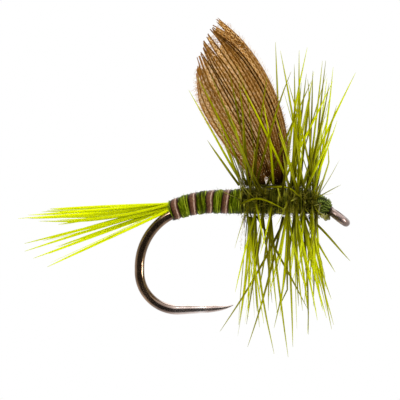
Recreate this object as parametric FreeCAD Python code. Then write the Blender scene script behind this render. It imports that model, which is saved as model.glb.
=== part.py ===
"""An upright-winged dry fly, dressed on a barbless down-eye hook.

The frame: origin at the centre of the hook eye, +X the way the fly faces, +Z up, +Y its left side.
Lengths are millimetres and angles are degrees. "Back" is a distance along the hook wire, measured
towards the bend from where the shank leaves the eye bend; it is negative towards the eye. A "clock"
angle goes round the shank: 0 is the right side (-Y), 90 is up, 180 the left side and 270 down.
"""

import FreeCAD
import Part
import math
import os
import random

Vector = FreeCAD.Vector

# The hook.
WIRE = 0.59
EYE_WIRE = 0.47
EYE_BORE = 0.72
EYE_RING = 1.09          # middle of the ring's wire, across the eye
EYE_GAP = 0.05           # where the end of the wire comes back to the neck
EYE_TURN_DOWN = 38.0
EYE_BEND_RADIUS = 0.80
SHANK_RISE = 0.86        # shank centre above eye centre
SHANK_STRAIGHT = 5.78
DROOP = (6.06, 30.0)     # radius and turn of each arc of the bend
UPPER_BEND = (3.60, 60.0)
BACK_STRAIGHT = 0.26
LOWER_BEND = (2.28, 92.0)
SPEAR = 1.45
SPEAR_WIRE = 0.48        # the wire thins to this where the point begins
POINT = 1.85
POINT_LIFT = 0.19        # the point is ground from below, so its tip is above the wire's centre
POINT_TAPER = 1.6        # above 1, the point stays thick until near its tip
TIP_RADIUS = 0.02

# The body and its thread.
THREAD = 0.09
BOUND_GAP = 0.01         # between pieces that are bound one over another
UNDERBODY = 0.41         # outer radius of the first layer of thread
UNDERBODY_ENDS = (8.20, -0.42)
BODY_TAIL_END = 8.76
BODY_FRONT_END = 4.56
BODY_RADII = (0.54, 0.68)
BODY_SWELL = 0.75                # below 1, the body swells most near its tail end
BODY_RISES = (0.20, 0.06)        # of the body's middle above the wire, at its tail end and front end
TAIL_BUTTS = {
    "back": 8.70, "length": 2.60, "half_widths": (0.32, 0.22), "heights": (0.13, 0.06), "top": 0.7,
}
WING_BUTTS = ((3.1, 0.30, 0.22), (2.4, 0.28, 0.22), (1.3, 0.20, 0.08))  # back, half width, height
WING_BUTTS_TOP = 0.6             # their top's width as a part of the width below
THORAX_RADIUS = 0.74
THORAX_RISE = 0.09
THORAX_SHAPE = (                 # back, radius and rise above the wire
    (4.54, 0.68, 0.06), (4.10, 0.74, 0.09), (2.60, 0.77, 0.09),
    (1.20, 0.74, 0.09), (0.20, 0.70, 0.06), (-0.10, 0.64, 0.03),
)
HEAD_RADIUS = 0.58
HEAD_RISE = 0.02
HEAD_SHAPE = (
    (-0.12, 0.58, 0.02), (-0.30, 0.52, 0.0), (-0.52, 0.44, 0.0), (-0.75, 0.365, 0.0),
    (-0.92, 0.33, 0.0),
)
WHIP_FINISH = {"back": -0.50, "pitch": 0.07, "turns": 4, "radii": (0.50, 0.40), "thread": 0.06}
CEMENT_DROP = ((-0.72, -0.03, 0.02), 0.20)
CEMENT_LIP = ((-0.93, 0.02, 0.13), 0.17)
RIB_WIDTH = 0.54
RIB_TOP = 0.92           # the outer face's width as a part of the inner face's
RIB_THICKNESS = 0.06
RIB_FRONT = 5.40         # where the foremost band crosses the right side
RIB_PITCH = (0.92, 0.03) # spacing of the bands, and how much it grows each turn
RIB_TURNS = (3.33, -0.75)        # where it starts and ends, in turns back from the foremost band
RIB_TAG = {"back": 4.27, "clock": 272, "width": 0.10, "length": 0.85}

# The hackles: turns of stem, each with a fan of barbs. The last rear turn passes under the wing.
STEM = 0.14
STEM_CLEAR = 0.045       # between the floss and the stem
STRAY_CLEAR = 0.06       # the same under a stray barb
# Leans towards the eye, in the first and last turn, are given above and below the shank.
REAR_HACKLE = {
    "back": 4.24, "pitch": 0.47, "turns": 4, "barbs": 14, "lean": ((-12.0, -3.0), (-2.0, 1.0)),
}
FRONT_HACKLE = {
    "back": 1.82, "pitch": 0.47, "turns": 5, "barbs": 17, "lean": ((-3.0, 6.0), (-1.0, 7.0)),
}
SHORTER_BELOW = 0.05     # how much shorter each further turn's barbs are below the shank
BARB = 0.13
BARB_TAPER = (0.85, 0.5)         # its width a third and two thirds of the way along
FLATNESS = 0.8                   # a barb's thickness as a part of its width
BARB_LENGTHS = (5.9, 8.1)
BARB_LEAN_SPREAD = (7.0, 6.0)    # above and below the shank
BARB_CURLS = (-0.05, 0.06)       # sideways curl of the tip, as a part of the length
BARB_SWING = 14.0                # how far a barb leans round the shank
TIPS_ABOVE = (-8.0, 0.7)         # how far back and forward the tips of the fan reach, along X
TIPS_BELOW = (-6.1, -0.4)        # the same below the shank, clear of the hook gape
WING_CLOCKS = (40.0, 140.0)      # where the wing stands in the way of barbs

# Single hackle barbs that stand out of the fan: back, clock, lean towards the eye, length, curl.
STRAY_BARBS = (
    (4.38, 97, -31, 6.7, 0.01),
    (4.60, 86, -36, 3.4, 0.03),
    (4.36, 92, -27, 3.4, 0.04),
    (4.14, 84, -19, 7.0, -0.09),
    (4.08, 78, -2, 6.5, -0.03),
    (3.98, 88, 4, 5.1, 0.03),
    (3.72, 82, 4, 6.6, 0.06),
    (3.60, 76, 14, 7.3, 0.06),
    (2.95, 82, 22, 6.8, 0.02),
    (2.54, 80, -4, 5.0, -0.04),
    (2.14, 93, -1, 8.6, -0.02),
    (2.05, 84, 25, 6.9, 0.02),
    (1.92, 96, 6, 8.3, 0.06),
    (1.58, 78, -22, 6.7, -0.04),
    (1.40, 84, 6, 6.8, 0.03),
    (1.05, 92, 1, 8.1, -0.01),
    (0.82, 83, -6, 8.2, -0.05),
    (0.80, 90, 24, 7.4, 0.02),
    (0.38, 86, 11, 5.8, 0.00),
    (0.06, 94, 4, 6.5, 0.04),
    (-0.02, 88, 10, 4.9, 0.05),
    (4.00, 272, -2, 6.5, -0.06),
    (3.94, 278, 0, 6.0, -0.01),
    (3.88, 264, 4, 6.7, 0.00),
    (3.64, 276, 2, 8.2, 0.10),
    (3.52, 284, 30, 6.5, -0.02),
    (2.72, 270, 5, 8.5, 0.03),
    (1.98, 268, -12, 8.0, -0.06),
    (1.78, 281, -24, 7.6, -0.10),
    (1.70, 272, 4, 7.8, -0.02),
    (1.30, 263, -8, 6.9, -0.04),
    (1.08, 276, 11, 6.3, 0.00),
    (0.92, 269, 14, 5.8, 0.00),
    (0.80, 280, 11, 6.2, 0.05),
    (0.60, 277, 24, 3.6, 0.08),
    (0.42, 272, 46, 3.8, -0.05),
    (0.36, 268, 8, 5.0, 0.10),
)

# Two barbs pressed back along the right side: back, clock and radius of three places on each.
CROSSING_BARBS = (
    ((2.95, 62, 0.96), (1.75, 48, 1.16), (0.85, 12, 1.12)),
    ((4.50, -8, 0.98), (3.30, 12, 1.20), (1.75, -22, 1.10)),
)
DOWN = {
    "back": 4.46, "clear": 0.16, "spacing": 0.03, "strands": 6, "clocks": (70, 95, 118, 250, 285),
    "clock_spread": 8, "lengths": (0.9, 2.2), "leans": (-12, 10), "curl": 0.05,
}
STEM_BUTTS = ((262, -0.02, 0.30), (285, -0.14, 0.26))    # clock, back, length
STEM_BUTT_CLEAR = 0.10
STEM_BUTT_DROOPS = (0.02, 0.05)  # halfway along and at the clipped end

# The wing: two slips of feather. Each barb is a cubic curve; these are its four control points
# (X, Z) for the rearmost and for the foremost barb of a slip.
WING_REAR_BARB = ((-4.62, 1.72), (-5.76, 3.11), (-8.52, 5.81), (-8.46, 8.33))
WING_FRONT_BARB = ((-3.30, 1.72), (-2.33, 5.43), (-4.44, 9.82), (-7.26, 12.05))
WING_BARBS = 22
WING_FOOT = (-4.75, -3.25)   # where the slips stand on the shank
WING_BARB_WIDTH = (0.06, 0.16)
WING_BARB_THICKNESS = 0.05
SLIP_SPACING = (0.10, 0.42)  # half the distance between the slips at their roots and tips
SLIP_CUP = 0.22              # how far the middle of a slip bulges outwards
WING_TIP_SHAPE = (1.6, 0.7)  # how the tips gather along X and Z from the rear to the front barb
WING_FRAY = (0.10, 0.55)     # how unevenly the barbs end, across and along them
LASHING = {"centre": -3.99, "half_length": 0.80, "half_width": 0.30, "heights": (1.80, 1.90)}

# The tail fibres by clump: droop below level, length, swing to the fly's left, and bow upwards as
# a part of the length.
TAIL_FIBRE = 0.15
TAIL_ROOT_BACK = 8.79        # just outside the end of the floss
TAIL_ROOT_RISE = 0.76        # of a level fibre's root above the wire
TAIL_ROOT_DROP = 0.017       # lower by this for each degree of droop
TAIL_ROOT_SPREAD = 0.02      # aside by this for each degree of swing
TAIL_CLUMPS = {
    "tail_upper_clump": (
        (2.6, 7.0, -7.0, 0.004), (3.5, 7.3, 4.0, 0.0), (4.2, 8.3, -3.0, 0.0),
        (4.6, 7.7, 8.0, -0.01), (5.6, 9.0, 1.0, -0.01), (5.9, 8.2, -5.0, -0.02),
        (6.4, 7.8, 5.0, -0.03), (6.9, 7.7, -1.0, -0.04), (7.6, 6.6, -10.0, -0.03),
    ),
    "tail_middle_fibres": (
        (10.5, 6.8, 6.0, 0.0), (14.6, 8.9, -3.0, 0.0), (15.6, 8.0, 7.0, 0.01), (17.2, 9.1, 2.0, 0.01),
    ),
    "tail_lower_clump": (
        (19.6, 7.2, 7.0, 0.0), (20.5, 8.7, -1.0, 0.0), (21.1, 7.8, 3.0, 0.0), (25.2, 8.0, -5.0, 0.0),
    ),
}

SEEDS = {"wing": 40, "rear_hackle": 100, "front_hackle": 200, "down": 7}


def wire_route():
    """The hook wire's centre line from the ring: its straight lengths and (radius, turn) arcs."""
    neck = SHANK_RISE / math.sin(math.radians(EYE_TURN_DOWN)) - EYE_RING / 2
    neck -= EYE_BEND_RADIUS * math.tan(math.radians(EYE_TURN_DOWN / 2))
    return [
        neck, (EYE_BEND_RADIUS, EYE_TURN_DOWN), SHANK_STRAIGHT,
        DROOP, UPPER_BEND, BACK_STRAIGHT, LOWER_BEND, SPEAR,
    ]


def step(point, heading, leg, part=1.0):
    """The point and heading after a leg of the route, or after a part of it."""
    if not isinstance(leg, tuple):
        ahead = Vector(math.cos(heading), 0, math.sin(heading))
        return point + ahead * (leg * part), heading
    radius, turn = leg
    turned = math.radians(turn) * part
    centre = point + Vector(-math.sin(heading), 0, math.cos(heading)) * radius
    after = heading + turned
    return centre - Vector(-math.sin(after), 0, math.cos(after)) * radius, after


def leg_length(leg):
    """How far a leg runs along the wire."""
    return leg[0] * math.radians(leg[1]) if isinstance(leg, tuple) else leg


def route_start():
    """Where the neck leaves the ring, and its heading."""
    down = math.radians(EYE_TURN_DOWN)
    back = Vector(-math.cos(down), 0, math.sin(down))
    return back * (EYE_RING / 2), math.pi - down


def route_edges(legs, point, heading):
    """The edges of a run of legs, and where they end."""
    edges = []
    for leg in legs:
        end, turned = step(point, heading, leg)
        if isinstance(leg, tuple):
            middle, _ = step(point, heading, leg, 0.5)
            edges.append(Part.Arc(point, middle, end).toShape())
        else:
            edges.append(Part.LineSegment(point, end).toShape())
        point, heading = end, turned
    return edges, point, heading


def on_wire(back):
    """The wire's centre at a distance back, with the forward and upward directions there."""
    legs = wire_route()
    point, heading = route_start()
    left = back + sum(leg_length(leg) for leg in legs[:2])
    for leg in legs:
        if left <= leg_length(leg):
            point, heading = step(point, heading, leg, left / leg_length(leg))
            break
        left -= leg_length(leg)
        point, heading = step(point, heading, leg)
    forward = Vector(-math.cos(heading), 0, -math.sin(heading))
    return point, forward, Vector(-forward.z, 0, forward.x)


def around_wire(back, radius, clock, rise=0.0):
    """A point of the body's surface, and the direction out of it there."""
    centre, _, up = on_wire(back)
    turned = math.radians(clock)
    out = Vector(0, -math.cos(turned), 0) + up * math.sin(turned)
    return centre + up * rise + out * radius, out


def between(first, last, part):
    """The value at a part of the way from the first to the last."""
    return first + (last - first) * part


def disc(centre, normal, radius):
    """A round outline."""
    return Part.Wire([Part.makeCircle(radius, centre, normal)])


def swept_wire(legs, point, heading, radius):
    """Round wire along a run of legs, with where it ends."""
    edges, end, turned = route_edges(legs, point, heading)
    ahead = Vector(math.cos(heading), 0, math.sin(heading))
    solid = Part.Wire(edges).makePipeShell([disc(point, ahead, radius)], True, False)
    return solid, end, turned


def hook():
    """Tapered eye, straight shank, round bend, and a thinner spear with a barbless point."""
    start, heading = route_start()
    legs = wire_route()
    neck, neck_end = legs[0], step(start, heading, legs[0])[0]
    axis = Vector(math.sin(math.radians(EYE_TURN_DOWN)), 0, math.cos(math.radians(EYE_TURN_DOWN)))
    back = (neck_end - start) * (1 / neck)
    ring = Part.makeTorus(EYE_RING / 2, EYE_WIRE / 2, Vector(0, 0, 0), axis)
    taper = Part.makeCone(EYE_WIRE / 2, WIRE / 2, neck, start, back)
    corner = Vector(-EYE_WIRE, WIRE / 2, -EYE_WIRE)
    gap = Part.makeBox(2 * EYE_WIRE, EYE_GAP, 2 * EYE_WIRE, corner)
    gap.rotate(Vector(0, 0, 0), Vector(0, 1, 0), EYE_TURN_DOWN)
    gap.translate(start)
    bore = Part.makeCylinder(EYE_BORE / 2, 4 * EYE_WIRE, axis * (-2 * EYE_WIRE), axis)
    wire, end, turned = swept_wire(legs[1:-1], neck_end, heading, WIRE / 2)
    ahead = Vector(math.cos(turned), 0, math.sin(turned))
    lift = Vector(-ahead.z, 0, ahead.x)
    spear = Part.makeCone(WIRE / 2, SPEAR_WIRE / 2, SPEAR, end, ahead)
    end += ahead * SPEAR
    rings = []
    for part in (0.0, 0.25, 0.5, 0.75, 0.9, 1.0):
        radius = between(SPEAR_WIRE / 2, TIP_RADIUS, part ** POINT_TAPER)
        centre = end + ahead * (POINT * part) + lift * (POINT_LIFT * part ** 4)
        rings.append(disc(centre, ahead, radius))
    point = Part.makeLoft(rings, True, False)
    return ring.fuse(taper).cut(bore).cut(gap).fuse([wire, spear, point]).removeSplitter()


def faceted(points, triangles):
    """A closed solid from its corner points and triangles."""
    shell = Part.Shape()
    shell.makeShapeFromMesh((points, triangles), 1e-5)
    solid = Part.makeSolid(shell)
    if solid.Volume < 0:
        solid.reverse()
    return solid


def skin(rings, tip=None):
    """A solid over a row of rings with equal numbers of points, closed at the tip by a point."""
    sides = len(rings[0])
    points = [point for ring in rings for point in ring]
    triangles = [(0, k + 1, k) for k in range(1, sides - 1)]
    for row in range(len(rings) - 1):
        for k in range(sides):
            a, b = row * sides + k, row * sides + (k + 1) % sides
            triangles += [(a, b, b + sides), (a, b + sides, a + sides)]
    last = (len(rings) - 1) * sides
    if tip is None:
        triangles += [(last, last + k, last + k + 1) for k in range(1, sides - 1)]
    else:
        points.append(tip)
        triangles += [(last + k, last + (k + 1) % sides, len(points) - 1) for k in range(sides)]
    return faceted(points, triangles)


def fibre(path, widths, thickness=1.0, flat=Vector(0, 1, 0)):
    """A four-sided fibre that tapers to a point. Across the flat direction it is thickness times
    its width."""
    rings = []
    for n, width in enumerate(widths):
        run = path[min(n + 1, len(path) - 1)] - path[max(n - 1, 0)]
        side = flat.cross(run).normalize()
        over = run.cross(side).normalize()
        side, over = side * (width / 2), over * (width * thickness / 2)
        rings.append([path[n] + side, path[n] + over, path[n] - side, path[n] - over])
    return skin(rings, path[-1])


def strand(path, diameter, sides=6):
    """A round strand along a path that bends gently."""
    rings = []
    out = Vector(0.1, 0.2, 1)
    for n, point in enumerate(path):
        run = path[min(n + 1, len(path) - 1)] - path[max(n - 1, 0)]
        side = out.cross(run).normalize()
        out = run.cross(side).normalize()
        ring = []
        for k in range(sides):
            turned = 2 * math.pi * k / sides
            ring.append(point + (side * math.cos(turned) + out * math.sin(turned)) * (diameter / 2))
        rings.append(ring)
    return skin(rings)


def wound(back, pitch, turns, radii, rise, diameter, steps=18):
    """Turns of a round strand laid side by side round the shank, wound towards the eye, up the
    right side and over the top. Radii are those of its first and last turn."""
    count = round(turns * steps)
    path = []
    for n in range(count + 1):
        turned = n / steps
        radius = between(radii[0], radii[1], n / count)
        path.append(around_wire(back - pitch * turned, radius, 360 * turned, rise)[0])
    return strand(path, diameter)


def body_shape(back):
    """The abdomen's radius and its rise above the wire at a distance back."""
    part = (BODY_TAIL_END - back) / (BODY_TAIL_END - BODY_FRONT_END)
    part = min(max(part, 0.0), 1.0)
    radius = between(*BODY_RADII, part ** BODY_SWELL)
    return radius, BODY_RISES[0] * (1 - part) ** 2 + BODY_RISES[1] * part ** 2


def lofted(stations):
    """A round body through (back, radius, rise) stations."""
    rings = []
    for back, radius, rise in stations:
        centre, forward, up = on_wire(back)
        rings.append(disc(centre + up * rise, forward, radius))
    return Part.makeLoft(rings, True, False)


def underbody():
    """The first layer of thread, which hugs the wire."""
    return lofted([(between(*UNDERBODY_ENDS, n / 12), UNDERBODY, 0.0) for n in range(13)])


def pressed_ring(back, half_width, height, top):
    """The outline across butts pressed flat on top of the underbody. Top is their top's width as
    a part of the width below."""
    centre, _, up = on_wire(back)
    low = centre + up * (UNDERBODY + BOUND_GAP)
    high = low + up * height
    left = Vector(0, half_width, 0)
    return [low - left, low + left, high + left * top, high - left * top]


def tail_butts():
    """The tail fibres' bound ends, pressed flat on top of the shank."""
    rings = []
    for part in (0.0, 0.25, 0.5, 0.75, 1.0):
        back = TAIL_BUTTS["back"] - TAIL_BUTTS["length"] * part
        half_width = between(*TAIL_BUTTS["half_widths"], part)
        height = between(*TAIL_BUTTS["heights"], part)
        rings.append(pressed_ring(back, half_width, height, TAIL_BUTTS["top"]))
    return skin(rings)


def abdomen():
    """Floss wound over the butts, fuller towards the thorax."""
    backs = [between(BODY_TAIL_END, BODY_FRONT_END, n / 8) for n in range(9)]
    return lofted([(back, *body_shape(back)) for back in backs])


def rib():
    """A strip of quill wound over the abdomen, up the right side and towards the eye."""
    first, last = RIB_TURNS
    steps_a_turn = 24
    steps = round((first - last) * steps_a_turn)
    inner, outer = 0.5, 0.5 * RIB_TOP
    rings = []
    for n in range(steps + 1):
        turn = between(first, last, n / steps)
        back = RIB_FRONT + RIB_PITCH[0] * turn + RIB_PITCH[1] * turn * turn
        ring = []
        for offset, out in ((inner, 0.0), (-inner, 0.0), (-outer, 1.0), (outer, 1.0)):
            at = back + offset * RIB_WIDTH
            radius, rise = body_shape(at)
            radius += BOUND_GAP + out * RIB_THICKNESS
            ring.append(around_wire(at, radius, -360 * turn, rise)[0])
        rings.append(ring)
    return skin(rings)


def rib_tag():
    """The clipped end of the quill strip, hanging from the front of the abdomen."""
    start = THORAX_RADIUS + 0.02
    root, down = around_wire(RIB_TAG["back"], start, RIB_TAG["clock"], THORAX_RISE)
    length, width = RIB_TAG["length"], RIB_TAG["width"]
    path = [root, root + down * (length * 0.53), root + down * length + Vector(0.03, 0, 0)]
    return fibre(path, (width, width * 0.8), 0.5)


def wing_butts():
    """The wing slips' bound ends, laid forward on top of the shank."""
    return skin([pressed_ring(*station, WING_BUTTS_TOP) for station in WING_BUTTS])


def head_cement():
    """A drop of set varnish under the neck, and the thin lip that it leaves on the wraps."""
    drop, lip = [Part.makeSphere(radius, Vector(*at)) for at, radius in (CEMENT_DROP, CEMENT_LIP)]
    return drop.fuse(lip)


def wing_barb_controls(across, rng):
    """The control points of one barb's curve, seen from the side. Across is 0 for the rearmost."""
    controls = []
    for rear, front in zip(WING_REAR_BARB, WING_FRONT_BARB):
        x_power, z_power = WING_TIP_SHAPE if len(controls) == 3 else (1.0, 1.0)
        x = between(rear[0], front[0], across ** x_power)
        controls.append(Vector(x, 0, between(rear[1], front[1], across ** z_power)))
    spread, along = WING_FRAY
    controls[3] += Vector(rng.uniform(-spread, spread), 0, rng.uniform(-along, 0.05))
    return controls


def wing_slip(side):
    """The barbs of one slip, side by side. Side is -1 for the right slip and 1 for the left."""
    rng = random.Random(SEEDS["wing"] + side)
    steps = 6
    thin, wide = WING_BARB_WIDTH
    swells = [math.sin(math.pi * min(0.9, 0.15 + m / steps)) for m in range(steps)]
    widths = [between(thin, wide, swell) for swell in swells]
    solids = []
    for n in range(WING_BARBS):
        across = n / (WING_BARBS - 1)
        controls = wing_barb_controls(across, rng)
        path = []
        for m in range(steps + 1):
            t = m / steps
            weights = ((1 - t) ** 3, 3 * t * (1 - t) ** 2, 3 * t * t * (1 - t), t ** 3)
            point = sum((c * w for c, w in zip(controls, weights)), Vector(0, 0, 0))
            cup = SLIP_CUP * math.sin(math.pi * across) * math.sin(math.pi * min(t * 1.2, 1.0))
            path.append(point + Vector(0, side * (between(*SLIP_SPACING, t) + cup), 0))
        solids.append(fibre(path, widths, WING_BARB_THICKNESS / wide))
    return solids


def wing_lashing():
    """Two turns of thread round the foot of the wing, which hold the slips upright."""
    turns, steps = 2, 60
    path = []
    for n in range(steps + 1):
        turned = 2 * math.pi * turns * n / steps
        x = LASHING["centre"] + LASHING["half_length"] * math.cos(turned)
        y = LASHING["half_width"] * math.sin(turned)
        path.append(Vector(x, y, between(*LASHING["heights"], n / steps)))
    return strand(path, THREAD)


def barb(root, out, lean, length, curl, across=0.0):
    """One hackle barb from its root. Lean is towards the eye, across is round the shank."""
    ahead = Vector(1, 0, 0)
    around = ahead.cross(out)
    tilt, swing = math.radians(lean), math.radians(across)
    run = out * (math.cos(tilt) * math.cos(swing)) + ahead * math.sin(tilt)
    run += around * (math.cos(tilt) * math.sin(swing))
    path = [root + (run * t + ahead * (curl * t * t)) * length for t in (0.0, 0.33, 0.68, 1.0)]
    return fibre(path, (BARB, BARB * BARB_TAPER[0], BARB * BARB_TAPER[1]), FLATNESS)


def hackle_stem(hackle):
    """The bare stem, wound over the thorax."""
    radius = THORAX_RADIUS + STEM_CLEAR + STEM / 2
    back = hackle["back"] + hackle["pitch"] * 0.5
    return wound(back, hackle["pitch"], hackle["turns"], (radius, radius), THORAX_RISE, STEM)


def hackle_turn(hackle, turn, seed):
    """The fan of barbs that stands off one turn of a hackle stem."""
    rng = random.Random(seed)
    solids = []
    means = [between(*ends, turn / (hackle["turns"] - 1)) for ends in hackle["lean"]]
    for n in range(hackle["barbs"]):
        clock = 360 * (n + rng.uniform(0.15, 0.85)) / hackle["barbs"]
        back = hackle["back"] + hackle["pitch"] * (0.5 - turn - clock / 360)
        above = clock < 180
        place = 0 if above else 1
        lean = rng.gauss(means[place], BARB_LEAN_SPREAD[place])
        length = rng.uniform(*BARB_LENGTHS) * (1 if above else 1 - SHORTER_BELOW * turn)
        curl = rng.uniform(*BARB_CURLS)
        across = rng.uniform(-BARB_SWING, BARB_SWING)
        root, out = around_wire(back, THORAX_RADIUS + STEM_CLEAR + STEM, clock, THORAX_RISE)
        if WING_FOOT[0] < root.x < WING_FOOT[1] and WING_CLOCKS[0] < clock < WING_CLOCKS[1]:
            continue
        least, most = TIPS_ABOVE if above else TIPS_BELOW
        sweep = [(limit - root.x) / length - curl for limit in (least, most)]
        sine = min(max(math.sin(math.radians(lean)), sweep[0]), sweep[1])
        solids.append(barb(root, out, math.degrees(math.asin(sine)), length, curl, across))
    return solids


def stray_barbs():
    """Single barbs that stand out of the fans."""
    solids = []
    for back, clock, lean, length, curl in STRAY_BARBS:
        root, out = around_wire(back, THORAX_RADIUS + STRAY_CLEAR + STEM, clock, THORAX_RISE)
        solids.append(barb(root, out, lean, length, curl))
    return solids


def crossing_barbs():
    """Two barbs pressed back along the right side of the thorax, curving over it."""
    solids = []
    for places in CROSSING_BARBS:
        path = [around_wire(back, radius, clock, THORAX_RISE)[0] for back, clock, radius in places]
        solids.append(fibre(path, (BARB, BARB * BARB_TAPER[0]), FLATNESS))
    return solids


def down_strands():
    """Soft grey barbs from the foot of the rear hackle."""
    rng = random.Random(SEEDS["down"])
    spread = DOWN["clock_spread"]
    solids = []
    for n in range(DOWN["strands"]):
        clock = rng.choice(DOWN["clocks"]) + rng.uniform(-spread, spread)
        root, out = around_wire(DOWN["back"], THORAX_RADIUS + DOWN["clear"], clock, THORAX_RISE)
        root += Vector(DOWN["spacing"] * n, 0, 0)
        length, lean = rng.uniform(*DOWN["lengths"]), rng.uniform(*DOWN["leans"])
        solids.append(barb(root, out, lean, length, DOWN["curl"]))
    return solids


def tail_clump(fibres):
    """Fibres that leave the end of the body together and fan out."""
    solids = []
    for droop, length, swing, bow in fibres:
        root, _, up = on_wire(TAIL_ROOT_BACK)
        root += up * (TAIL_ROOT_RISE - TAIL_ROOT_DROP * droop) + Vector(0, TAIL_ROOT_SPREAD * swing, 0)
        fall, turn = math.radians(droop), math.radians(swing)
        run = Vector(-math.cos(fall) * math.cos(turn), math.sin(turn), -math.sin(fall))
        rise = Vector(0, 0, bow)
        path = [root + (run * t + rise * (4 * t * (1 - t))) * length for t in (0.0, 0.3, 0.65, 1.0)]
        solids.append(fibre(path, (TAIL_FIBRE, TAIL_FIBRE, TAIL_FIBRE * 0.7), FLATNESS))
    return solids


def stem_butts():
    """Clipped stubs of the two hackle stems under the head."""
    middle, end = STEM_BUTT_DROOPS
    solids = []
    for clock, back, length in STEM_BUTTS:
        root, _ = around_wire(back, HEAD_RADIUS + STEM_BUTT_CLEAR, clock, HEAD_RISE)
        path = [root, root + Vector(length / 2, 0, -middle), root + Vector(length, 0, -end)]
        solids.append(strand(path, STEM))
    return solids


def build():
    """Every piece of the fly, by name."""
    bare = hook()
    under = underbody()
    tails, butts = tail_butts(), wing_butts()
    closing = lofted(HEAD_SHAPE)
    finish = wound(
        WHIP_FINISH["back"], WHIP_FINISH["pitch"], WHIP_FINISH["turns"],
        WHIP_FINISH["radii"], 0.0, WHIP_FINISH["thread"],
    )
    pieces = {
        "hook": [bare],
        "thread_underbody": [under.cut(bare)],
        "tail_butts": [tails],
        "abdomen_floss": [abdomen().cut([under, bare, tails])],
        "rib_quill": [rib()],
        "rib_tag": [rib_tag()],
        "thorax_floss": [lofted(THORAX_SHAPE).cut([under, bare, butts])],
        "right_wing_slip": wing_slip(-1),
        "left_wing_slip": wing_slip(1),
        "wing_butts": [butts],
        "wing_lashing": [wing_lashing()],
        "rear_hackle_stem": [hackle_stem(REAR_HACKLE)],
        "front_hackle_stem": [hackle_stem(FRONT_HACKLE)],
        "stray_hackle_barbs": stray_barbs(),
        "crossing_hackle_barbs": crossing_barbs(),
        "hackle_down": down_strands(),
        "hackle_stem_butts": stem_butts(),
        "head_wraps": [closing.cut([under, bare])],
        "whip_finish": [finish],
        "head_cement": [head_cement().cut([bare, closing, under])],
    }
    for name, fibres in TAIL_CLUMPS.items():
        pieces[name] = tail_clump(fibres)
    for turn in range(REAR_HACKLE["turns"]):
        seed = SEEDS["rear_hackle"] + turn
        pieces[f"rear_hackle_barbs_{turn + 1}"] = hackle_turn(REAR_HACKLE, turn, seed)
    for turn in range(FRONT_HACKLE["turns"]):
        seed = SEEDS["front_hackle"] + turn
        pieces[f"front_hackle_barbs_{turn + 1}"] = hackle_turn(FRONT_HACKLE, turn, seed)
    return pieces


def main():
    """Writes each piece to its own file."""
    os.makedirs("parts", exist_ok=True)
    for name, shapes in build().items():
        solids = [solid for shape in shapes for solid in shape.Solids]
        if not all(solid.isValid() and solid.Volume > 0 for solid in solids):
            raise ValueError(f"{name} is not a valid solid")
        shape = solids[0] if len(solids) == 1 else Part.makeCompound(solids)
        shape.exportStep(f"parts/{name}.step")
        print(f"{name}: {len(solids)} solids, {sum(s.Volume for s in solids):.4f} mm3")


main()
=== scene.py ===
import random
from math import asin, cos, pi, radians, sin, tan

import bpy
import numpy as np
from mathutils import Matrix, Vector


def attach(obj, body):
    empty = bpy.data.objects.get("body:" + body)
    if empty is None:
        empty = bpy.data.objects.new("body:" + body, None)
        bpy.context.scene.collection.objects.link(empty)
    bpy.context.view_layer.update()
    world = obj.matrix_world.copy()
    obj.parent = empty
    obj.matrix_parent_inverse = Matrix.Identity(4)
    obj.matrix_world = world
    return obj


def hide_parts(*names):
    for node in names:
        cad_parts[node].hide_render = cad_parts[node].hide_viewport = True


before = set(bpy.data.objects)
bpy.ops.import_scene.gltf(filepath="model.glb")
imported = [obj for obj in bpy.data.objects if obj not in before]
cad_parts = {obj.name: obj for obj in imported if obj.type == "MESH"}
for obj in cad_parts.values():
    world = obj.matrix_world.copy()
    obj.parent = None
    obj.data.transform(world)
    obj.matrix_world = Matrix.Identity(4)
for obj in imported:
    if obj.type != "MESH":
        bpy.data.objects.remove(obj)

# The looks of a dry fly in the CAD's frame: origin at the hook eye's centre, +X the way the fly
# faces, +Z up, +Y its left side. Shapes are worked out in millimetres and made in metres.
MM = 0.001
Y_AXIS = np.array([0.0, 1.0, 0.0])
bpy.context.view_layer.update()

# The hook, body and thread, with the sizes of the CAD part. "Back" is a distance along the wire
# from the end of the eye bend; a "clock" is 0 on the right side, 90 on top and 180 on the left.
WIRE = 0.59
THREAD = 0.09
EYE_WIRE = 0.47
EYE_BORE = 0.72
EYE_RING = 1.09
EYE_GAP = 0.05
EYE_TURN_DOWN = 38.0
EYE_BEND_RADIUS = 0.80
SHANK_RISE = 0.86
SHANK_STRAIGHT = 5.78
DROOP = (6.06, 30.0)
UPPER_BEND = (3.60, 60.0)
BACK_STRAIGHT = 0.26
LOWER_BEND = (2.28, 92.0)
SPEAR = 1.45
SPEAR_WIRE = 0.48
POINT = 1.85
POINT_LIFT = 0.19
TIP_RADIUS = 0.02
BODY_TAIL_END = 8.76
BODY_FRONT_END = 4.56
BODY_RADII = (0.54, 0.68)
BODY_RISES = (0.20, 0.06)
UNDERBODY = 0.41
UNDERBODY_ENDS = (8.20, -0.42)
THORAX_RADIUS = 0.74
THORAX_RISE = 0.09
THORAX_SHAPE = (
    (4.54, 0.68, 0.06), (4.10, 0.74, 0.09), (2.60, 0.77, 0.09),
    (1.20, 0.74, 0.09), (0.20, 0.70, 0.06), (-0.10, 0.64, 0.03),
)
HEAD_SHAPE = (
    (-0.12, 0.58, 0.02), (-0.30, 0.52, 0.0), (-0.52, 0.44, 0.0), (-0.75, 0.365, 0.0),
    (-0.92, 0.33, 0.0),
)
RIB_WIDTH = 0.54
RIB_THICKNESS = 0.06
RIB_FRONT = 5.40
RIB_PITCH = (0.92, 0.03)
RIB_TURNS = (3.33, -0.75)
RIB_SWAY = 0.6
LASHING = {"centre": -3.99, "half_length": 0.80, "half_width": 0.30, "heights": (1.80, 1.90)}
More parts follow.
